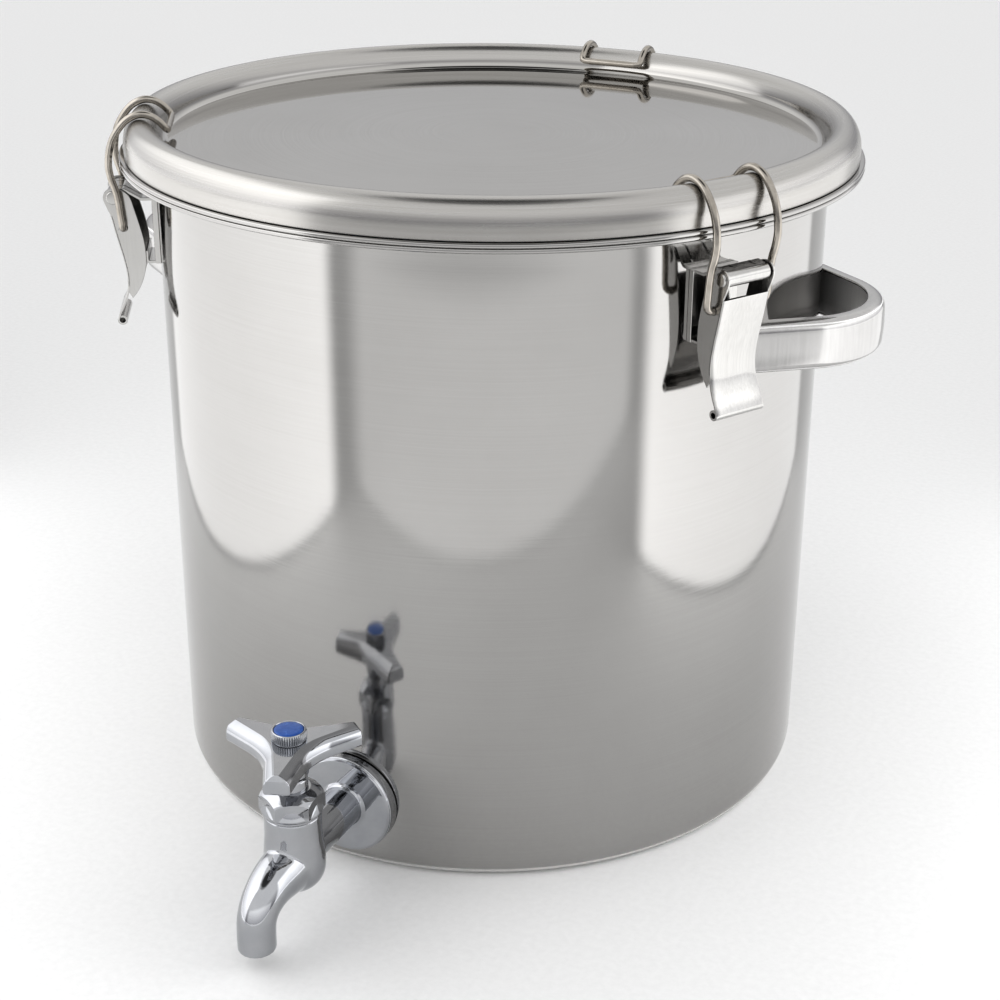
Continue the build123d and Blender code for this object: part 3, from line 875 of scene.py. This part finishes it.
for number, azimuth in enumerate(CLIP_AZIMUTHS, start=1):
    for draw, kind, material, body, slot in (
        (clip_base, "base", CLIP_MAT, "tank", "clip_steel"),
        (clip_lever, "lever", CLIP_MAT, f"lever_{number}", "clip_steel"),
        (clip_pin, "pin", CLIP_MAT, f"lever_{number}", "clip_steel"),
        (clip_bail, "bail", WIRE_MAT, f"bail_{number}", "wire"),
    ):
        finish_piece(draw(f"catch_{kind}_{number}", azimuth), material, body, slot, f"clip_{kind}_{number}")


# ---------------------------------------------------------------- tap
def tap_casting():
    """Cast body: barrel, inlet and spout run into each other with soft blends."""
    parts = []
    barrel = [(0, 17.7, 0), (13.1, 17.7, 11.5), (13.1, 33.0, 20.0)]
    barrel = rounded(barrel + [(12.05, 45.0, 20.0), (12.05, 54.9, 0.4), (0, 54.9, 0)])
    parts.append(lathe("tap_casting", barrel, steps=64, axis_x=VALVE_X))
    spout_line = [
        (196.0, 0, 29.6),
        (203.0, 0, 30.4),
        (210.3, 0, 30.9),
        (219.4, 0, 29.9),
        (226.3, 0, 26.4),
        (229.8, 0, 21.6),
        (SPOUT_X, 0, 16.0),
        (SPOUT_X, 0, 8.0),
    ]
    radii = [11.2, 11.2, 10.7, 9.5, 8.6, 8.2, 8.1, 8.1]
    line = smooth_line([(*p, r) for p, r in zip(spout_line, radii)], 6)
    parts.append(tube("spout", [p[:3] for p in line], [p[3] for p in line], sides=40, dome=False))
    inlet = rounded([(0, 156.5, 0), (9.2, 156.5, 0), (9.2, VALVE_X, 0), (0, VALVE_X, 0)])
    parts.append(lathe_x("inlet", inlet, INLET_Z, steps=64))
    body = join("tap_casting", parts)
    mod = body.modifiers.new("remesh", "REMESH")
    mod.mode = "VOXEL"
    mod.voxel_size = 0.5 * MM
    mod.use_smooth_shade = True
    mod = body.modifiers.new("smooth", "SMOOTH")
    mod.factor = 0.5
    mod.iterations = 14
    apply_modifiers(body)
    bore(body, 6.4, 2.0, 18.0, SPOUT_X, shoulder=2.0)
    bore(body, CHAMBER_R, SEAT_Z, 56.0, VALVE_X)
    body.data.shade_smooth()
    body.data.set_sharp_from_angle(angle=math.radians(40.0))
    return turn_to(body, TAP_AZIMUTH)


finish_piece(tap_casting(), CHROME_MAT, "tank", "chrome", "tap_body")

collar_profile = [(8.6, 156.3, 0), (11.3, 156.3, 0), (10.2, 156.75, 0.8)]
collar_profile = rounded(collar_profile + [(9.5, 157.3, 0.8), (9.15, 158.8, 0), (8.6, 158.8, 0)], closed=True)
collar = lathe_x("tap_inlet_collar", collar_profile, INLET_Z)
finish_tap_piece(collar, CHROME_MAT, "tank", "chrome")

flange_profile = rounded(
    [
        (10.25, 152.9, 0), (22.5, 152.9, 0.1), (22.5, 151.6, 0.1), (23.0, 151.6, 0.2),
        (23.0, 155.2, 0.4), (22.72, 155.5, 0.1), (22.62, 155.95, 0.3), (21.6, 156.35, 0.4),
        (12.0, 156.4, 0), (10.25, 156.4, 0),
    ],
    closed=True,
)
flange = lathe_x("tap_escutcheon", flange_profile, INLET_Z, steps=128, crease_deg=40.0)
for vertex in flange.data.vertices:
    if vertex.co.x < 152.4 * MM:
        vertex.co.x = math.sqrt((BODY_R * MM) ** 2 - vertex.co.y ** 2) + 0.6 * MM
finish_tap_piece(flange, CHROME_MAT, "tank", "chrome", "tap_flange")

thread_points = []
thread_pitch = 1.4
crest = 10.05
root = 9.35
place = 138.6
while place < 152.4:
    thread_points += [(root, place), (crest, place + 0.55)]
    thread_points += [(crest, place + 0.8), (root, place + thread_pitch)]
    place += thread_pitch
thread = lathe_x("tap_thread", [(5.6, 138.5)] + thread_points + [(5.6, 153.5)], INLET_Z, steps=72)
finish_tap_piece(thread, BRASS_MAT, "tank", "brass")


def curved_gasket(name, radius, hole_r, flat_x, wall_r, node):
    """A flat-faced rubber ring whose other face follows the wall."""
    rings, steps = 8, 96
    verts, faces = [], []
    levels = [hole_r + (radius - hole_r) * k / rings for k in range(rings + 1)]
    for on_wall in (False, True):
        for r in levels:
            for k in range(steps):
                angle = 2 * math.pi * k / steps
                y, z = r * math.cos(angle), r * math.sin(angle)
                x = math.sqrt(wall_r ** 2 - y * y) if on_wall else flat_x
                verts.append((x, y, INLET_Z + z))
    far = len(verts) // 2
    for layer in (0, far):
        for i in range(rings):
            for k in range(steps):
                m = (k + 1) % steps
                quad = (i * steps + k, i * steps + m, (i + 1) * steps + m, (i + 1) * steps + k)
                faces.append(tuple(v + layer for v in quad))
    for i in (0, rings):
        for k in range(steps):
            m = (k + 1) % steps
            faces.append((i * steps + k, i * steps + m, i * steps + m + far, i * steps + k + far))
    obj = mesh_object(name, verts, faces)
    fix_normals(obj)
    bevel(obj, 0.25, 2, 40.0)
    return finish_tap_piece(obj, RUBBER_MAT, "tank", "black_rubber", node)


curved_gasket("tap_seal_outer", 22.3, 10.5, 152.78, BODY_R + WALL_GAP, "tap_gasket_outer")
curved_gasket("tap_seal_inner", 14.8, 10.5, 147.05, 149.98, "tap_gasket_inner")

washer_profile = [(10.35, 145.45, 0.2), (14.9, 145.45, 0.3), (14.9, 147.0, 0.3), (10.35, 147.0, 0.2)]
washer = lathe_x("tap_backing_washer", rounded(washer_profile, closed=True), INLET_Z)
finish_tap_piece(washer, BRASS_MAT, "tank", "brass", "tap_washer")


def hex_solid(name, flat_half, profile, axis_x=0.0):
    """Hexagon cut to a turned profile, as a nut's corners are."""
    corner = flat_half / math.cos(math.pi / 6)
    low, high = profile[0][1], profile[-1][1]
    ring = [(corner * math.cos(math.pi * k / 3), corner * math.sin(math.pi * k / 3)) for k in range(6)]
    verts = [(axis_x + x, y, low) for x, y in ring] + [(axis_x + x, y, high) for x, y in ring]
    faces = [tuple(range(6))[::-1], tuple(range(6, 12))]
    faces += [(k, (k + 1) % 6, (k + 1) % 6 + 6, k + 6) for k in range(6)]
    solid = mesh_object(name, verts, faces)
    turned = lathe("turned", profile, steps=96, axis_x=axis_x, closed=False)
    return boolean(solid, turned, "INTERSECT")


nut_outline = rounded([(0, 0.05, 0), (14.2, 0.05, 0), (15.6, 1.3, 0), (15.6, 4.95, 0), (0, 4.95, 0)])
nut = hex_solid("tap_back_nut", 13.9, nut_outline)
bore(nut, 9.6, -1, 7, closed=False)
nut.data.transform(Matrix(((0, 0, 1, 140.4 * MM), (0, 1, 0, 0), (-1, 0, 0, INLET_Z * MM), (0, 0, 0, 1))))
bevel(nut, 0.3, 2, 25.0)
finish_tap_piece(nut, BRASS_MAT, "tank", "brass", "tap_lock_nut")

bonnet_dome = rounded([(0, 57.0, 0), (14.4, 57.0, 0), (14.4, 63.4, 5.5), (8.2, 66.95, 1.5), (0, 66.95, 0)])
bonnet_hex = hex_solid("tap_bonnet_hex", 11.95, bonnet_dome, VALVE_X)
apply_modifiers(bevel(bonnet_hex, 0.8, 5, 18.0))
bore(bonnet_hex, 4.05, 56.0, 68.0, VALVE_X, steps=48)
finish_tap_piece(bonnet_hex, CHROME_MAT, "tank", "chrome", "tap_bonnet")


def turned_on_valve(name, outline, steps, material, body, slot, *nodes, hollow=True):
    """Turned piece on the valve's axis. A solid one starts and ends on the axis."""
    obj = lathe(name, rounded(outline, closed=hollow), steps=steps, axis_x=VALVE_X, closed=hollow)
    return finish_tap_piece(obj, material, body, slot, *nodes)


ring_outline = [(9.0, 54.9, 0), (12.2, 54.9, 0.3), (12.55, 55.3, 0.3), (12.55, 56.1, 0.3), (12.9, 56.5, 0.3)]
ring_outline += [(13.2, 57.1, 0.8), (12.5, 59.4, 6.0), (11.85, 61.4, 0.2), (9.0, 61.4, 0)]
turned_on_valve("tap_bonnet_ring", ring_outline, 96, CHROME_MAT, "tank", "chrome")

gland_outline = [(4.1, 66.6, 0), (7.0, 66.6, 0), (7.0, 71.2, 0.7), (6.2, 71.95, 0.2), (4.1, 71.95, 0)]
turned_on_valve("tap_gland", gland_outline, 72, CHROME_MAT, "tank", "chrome", "tap_packing")

# the moving parts of the tap
stem_outline = [(1.88, 49.3, 0.2), (3.9, 49.3, 0.4), (3.9, 86.8, 0.4)]
stem_outline += [(0, 86.8, 0), (0, 59.9, 0), (1.88, 59.9, 0)]
turned_on_valve("tap_stem", stem_outline, 48, BRASS_MAT, "tap_turn", "brass", "tap_spindle")

jumper_outline = [(0, 42.45, 0), (7.3, 42.45, 0.3), (7.3, 43.95, 0.3)]
jumper_outline += [(1.75, 43.95, 0.2), (1.75, 54.3, 0.3), (0, 54.3, 0)]
turned_on_valve(
    "valve_jumper", jumper_outline, 48, BRASS_MAT, "valve_lift", "brass", "valve_disc", hollow=False
)

pad_outline = [(0, 40.05, 0), (6.9, 40.05, 0.5), (6.9, 42.4, 0.4), (0, 42.4, 0)]
turned_on_valve(
    "valve_pad", pad_outline, 48, RUBBER_MAT, "valve_lift", "black_rubber", "valve_rubber", hollow=False
)

TIP_PARTS, WEB_PARTS = 6, 18


def knob_outline(reach, half_width, waist, tip_r, waist_r):
    """Three-armed outline; the same number of points whatever its size."""
    points = []
    for azimuth in (20.0, 140.0, 260.0):
        arm = math.radians(azimuth)
        for sign in (-1, 1):
            x = reach * math.cos(arm) - sign * half_width * math.sin(arm)
            y = reach * math.sin(arm) + sign * half_width * math.cos(arm)
            points.append((x, y, tip_r))
        between = arm + math.radians(60.0)
        points.append((waist * math.cos(between), waist * math.sin(between), waist_r))
    out = []
    for i in range(len(points)):
        is_web = i % 3 == 2
        out += corner_arc(points, i, parts=WEB_PARTS if is_web else TIP_PARTS)
    return out


def tap_knob():
    """Three arms with upright sides, rolled shoulders and a flat star on top."""
    bottom, side_top, lean_from, flat_z = 81.05, 84.2, 87.6, 89.45
    arm, half_width, waist, corner_r, web_r = 30.0, 5.4, 11.2, 0.9, 32.0
    star_arm, star_half, star_waist, star_r, star_web_r = 28.3, 0.9, 6.9, 0.3, 28.0
    last_turn, roll_steps = math.radians(74.0), 16
    levels = [(0.9, bottom), (0.3, bottom + 0.22), (0.0, bottom + 0.9)]
    rings = []
    for inset, z in levels:
        row = knob_outline(arm - inset, half_width - inset, waist - inset, corner_r, web_r)
        rings.append([(x, y, z) for x, y in row])
    for step in range(roll_steps + 1):
        turn = last_turn * step / roll_steps
        inward = 0.93 * (1 - math.cos(turn)) / (1 - math.cos(last_turn)) + 0.07 * step / roll_steps
        z = side_top + (flat_z - side_top) * math.sin(turn) / math.sin(last_turn)
        lean = max(0.0, (z - lean_from) / (flat_z - lean_from))

        def part_way(outer_size, star_size):
            return outer_size + (star_size - outer_size) * inward

        row = knob_outline(
            arm + (star_arm - arm) * lean,
            part_way(half_width, star_half),
            part_way(waist, star_waist),
            part_way(corner_r, star_r),
            part_way(web_r, star_web_r),
        )
        rings.append([(x, y, z) for x, y in row])
    count = len(rings[0])
    verts = [v for ring_points in rings for v in ring_points]
    faces = []
    rows = [range(first, first + count) for first in range(0, len(verts), count)]
    for low, high in zip(rows, rows[1:]):
        faces += skin(low, high)
    faces += [tri[::-1] for tri in skin(rows[0], [len(verts)] * count)]
    faces += skin(rows[-1], [len(verts) + 1] * count)
    verts += [(0.0, 0.0, bottom), (0.0, 0.0, flat_z)]
    knob = mesh_object("tap_knob_star", verts, faces, 14.0)
    fix_normals(knob)
    hub_outline = [(0, 73.1, 0), (7.4, 73.1, 0.6), (8.2, 81.5, 0), (0, 81.5, 0)]
    hub = lathe("hub", rounded(hub_outline), steps=72, closed=False)
    knob = join("tap_knob_star", [knob, hub])
    turn_to(knob, TAP_AZIMUTH, (VALVE_X, 0, 0))
    return knob


finish_piece(tap_knob(), CHROME_MAT, "tap_turn", "chrome", "tap_knob")


def knurled_cap():
    teeth, per = 44, 4
    steps = teeth * per
    levels = [(0.0, 89.4, 0.0), (6.7, 89.4, 0.0), (6.7, 89.75, 0.0), (7.22, 89.9, 1.0), (7.35, 90.3, 1.0)]
    levels += [(7.35, 92.7, 1.0), (7.2, 93.3, 0.8), (7.0, 93.8, 0.0), (6.7, 94.05, 0.0), (6.4, 94.05, 0.0)]
    levels += [(6.25, 93.85, 0.0), (6.22, 92.8, 0.0), (0.0, 92.8, 0.0)]
    verts, faces, rows = [], [], []
    for radius, z, knurl in levels:
        if radius == 0:
            rows.append([len(verts)] * steps)
            verts.append((0, 0, z))
            continue
        rows.append(list(range(len(verts), len(verts) + steps)))
        for k in range(steps):
            angle = 2 * math.pi * k / steps
            depth = (0.50, 0.16, 0.0, 0.16)[k % per] * knurl
            verts.append(((radius - depth) * math.cos(angle), (radius - depth) * math.sin(angle), z))
    for low, high in zip(rows, rows[1:]):
        faces += skin(low, high)
    cap = mesh_object("tap_knob_cap", verts, faces, 28.0)
    turn_to(cap, TAP_AZIMUTH, (VALVE_X, 0, 0))
    return cap


finish_piece(knurled_cap(), CHROME_MAT, "tap_turn", "chrome", "knob_cap")

button_profile = [(6.15, 92.85), (6.17, 93.6), (6.05, 93.9), (5.7, 94.1), (4.4, 94.26), (2.8, 94.38)]
button_profile += [(1.2, 94.44), (0.0, 94.45), (0.0, 92.85)]
button = lathe("tap_index", button_profile, steps=64, axis_x=VALVE_X)
finish_tap_piece(button, BLUE_MAT, "tap_turn", "blue", "index_button")


# ---------------------------------------------------------------- stage, light and camera
def stage_floor():
    half = 6.0
    mesh = bpy.data.meshes.new("floor")
    corners = [(-half, -half, 0), (half, -half, 0), (half, half, 0), (-half, half, 0)]
    mesh.from_pydata(corners, [], [(0, 1, 2, 3)])
    floor = bpy.data.objects.new("floor", mesh)
    bpy.context.scene.collection.objects.link(floor)
    n = Nodes("floor_paper")
    n.set(Roughness=0.75)
    n.shader.inputs["Specular IOR Level"].default_value = 0.15
    fibre = n.noise(n.position, 300.0, 3.0, 0.6)
    n.link(n.ramp(fibre, [(0.3, (0.80, 0.80, 0.80)), (0.7, (0.83, 0.83, 0.83))]), "Base Color")
    floor.data.materials.append(n.material)


def card(name, start, end, height, radiance_start, radiance_end, feather):
    """A soft-edged light panel that stands on a line of the floor and faces the object."""
    a, b = Vector((*start, 0.0)), Vector((*end, 0.0))
    middle = (a + b) / 2 + Vector((0, 0, 0.004 + height / 2))
    along = (b - a).normalized()
    facing = Vector((0, 0, 1)).cross(along)
    if facing.dot(middle) > 0:
        facing, along = -facing, -along
        radiance_start, radiance_end = radiance_end, radiance_start
    data = bpy.data.lights.new(name, "AREA")
    data.shape = "RECTANGLE"
    data.size = (b - a).length
    data.size_y = height
    data.energy = math.pi * data.size * data.size_y
    data.use_nodes = True
    tree = data.node_tree
    place = tree.nodes.new("ShaderNodeNewGeometry")
    split_place = tree.nodes.new("ShaderNodeSeparateXYZ")
    tree.links.new(place.outputs["Parametric"], split_place.inputs[0])

    def ramp(source, from_low, from_high, to_low, to_high, kind="SMOOTHSTEP"):
        node = tree.nodes.new("ShaderNodeMapRange")
        node.interpolation_type = kind
        node.inputs["From Min"].default_value = from_low
        node.inputs["From Max"].default_value = from_high
        node.inputs["To Min"].default_value = to_low
        node.inputs["To Max"].default_value = to_high
        tree.links.new(source, node.inputs["Value"])
        return node.outputs[0]

    def times(first, second):
        node = tree.nodes.new("ShaderNodeMath")
        node.operation = "MULTIPLY"
        tree.links.new(first, node.inputs[0])
        tree.links.new(second, node.inputs[1])
        return node.outputs[0]

    u, v = split_place.outputs[0], split_place.outputs[1]
    strength = ramp(u, 0.0, 1.0, radiance_start, radiance_end, "LINEAR")
    strength = times(strength, times(ramp(u, 0.0, feather, 0.0, 1.0), ramp(u, 1.0 - feather, 1.0, 1.0, 0.0)))
    strength = times(strength, ramp(v, 0.75, 1.0, 1.0, 0.0))
    tree.links.new(strength, tree.nodes["Emission"].inputs["Strength"])
    lamp = bpy.data.objects.new(name, data)
    lamp.matrix_world = Matrix(
        (
            (along.x, 0.0, -facing.x, middle.x),
            (along.y, 0.0, -facing.y, middle.y),
            (along.z, 1.0, -facing.z, middle.z),
            (0, 0, 0, 1),
        )
    )
    lamp.visible_camera = False
    bpy.context.scene.collection.objects.link(lamp)
    return lamp


stage_floor()
card("panel_left", (-0.475, 0.132), (-0.190, -0.507), 0.80, 0.66, 1.16, 0.08)
card("panel_right", (0.426, -0.193), (0.277, 0.411), 0.45, 1.20, 0.62, 0.08)
card("panel_front", (-0.200, -0.560), (0.680, -0.270), 0.20, 0.42, 0.42, 0.10)

world = bpy.data.worlds.new("studio")
bpy.context.scene.world = world
world.use_nodes = True
sky = world.node_tree
direction = sky.nodes.new("ShaderNodeTexCoord")
split = sky.nodes.new("ShaderNodeSeparateXYZ")
sky.links.new(direction.outputs["Generated"], split.inputs[0])
fade = sky.nodes.new("ShaderNodeValToRGB")
below, bright, dim, overhead = (0.47, 0.47, 0.49, 1.0), (1.21, 1.21, 1.21, 1.0), 0.15, 0.10
stops = fade.color_ramp.elements
stops.new(0.93).color = bright
stops.new(0.965).color = (dim, dim, dim, 1.0)
stops[0].color = below
stops[3].color = (overhead, overhead, overhead, 1.0)
stops.new(0.45).color = bright
sky.links.new(split.outputs["Z"], fade.inputs[0])
sky.links.new(fade.outputs[0], sky.nodes["Background"].inputs["Color"])

# camera: 24.6 degrees round from the tap, looking down at about 24 degrees
view_turn = math.radians(24.6)
distance, height = 0.85249, 0.49128
pitch, yaw, roll = 0.4139, 0.0236, 0.0125
forward = Vector((math.sin(yaw) * math.cos(pitch), math.cos(yaw) * math.cos(pitch), -math.sin(pitch)))
level_right = Vector((math.cos(yaw), -math.sin(yaw), 0.0))
level_up = level_right.cross(forward)
right = level_right * math.cos(roll) + level_up * math.sin(roll)
up = level_up * math.cos(roll) - level_right * math.sin(roll)
pose = Matrix(
    (
        (right.x, up.x, -forward.x, 0.0),
        (right.y, up.y, -forward.y, -distance),
        (right.z, up.z, -forward.z, height),
        (0.0, 0.0, 0.0, 1.0),
    )
)
camera_data = bpy.data.cameras.new("camera")
camera_data.sensor_width = 36.0
camera_data.lens = 68.44
camera_data.shift_x = -0.0337
camera = bpy.data.objects.new("camera", camera_data)
camera.matrix_world = Matrix.Rotation(view_turn, 4, "Z") @ pose
bpy.context.scene.collection.objects.link(camera)
bpy.context.scene.camera = camera
bpy.context.scene.view_settings.view_transform = "Standard"
bpy.context.scene.view_settings.gamma = 0.72
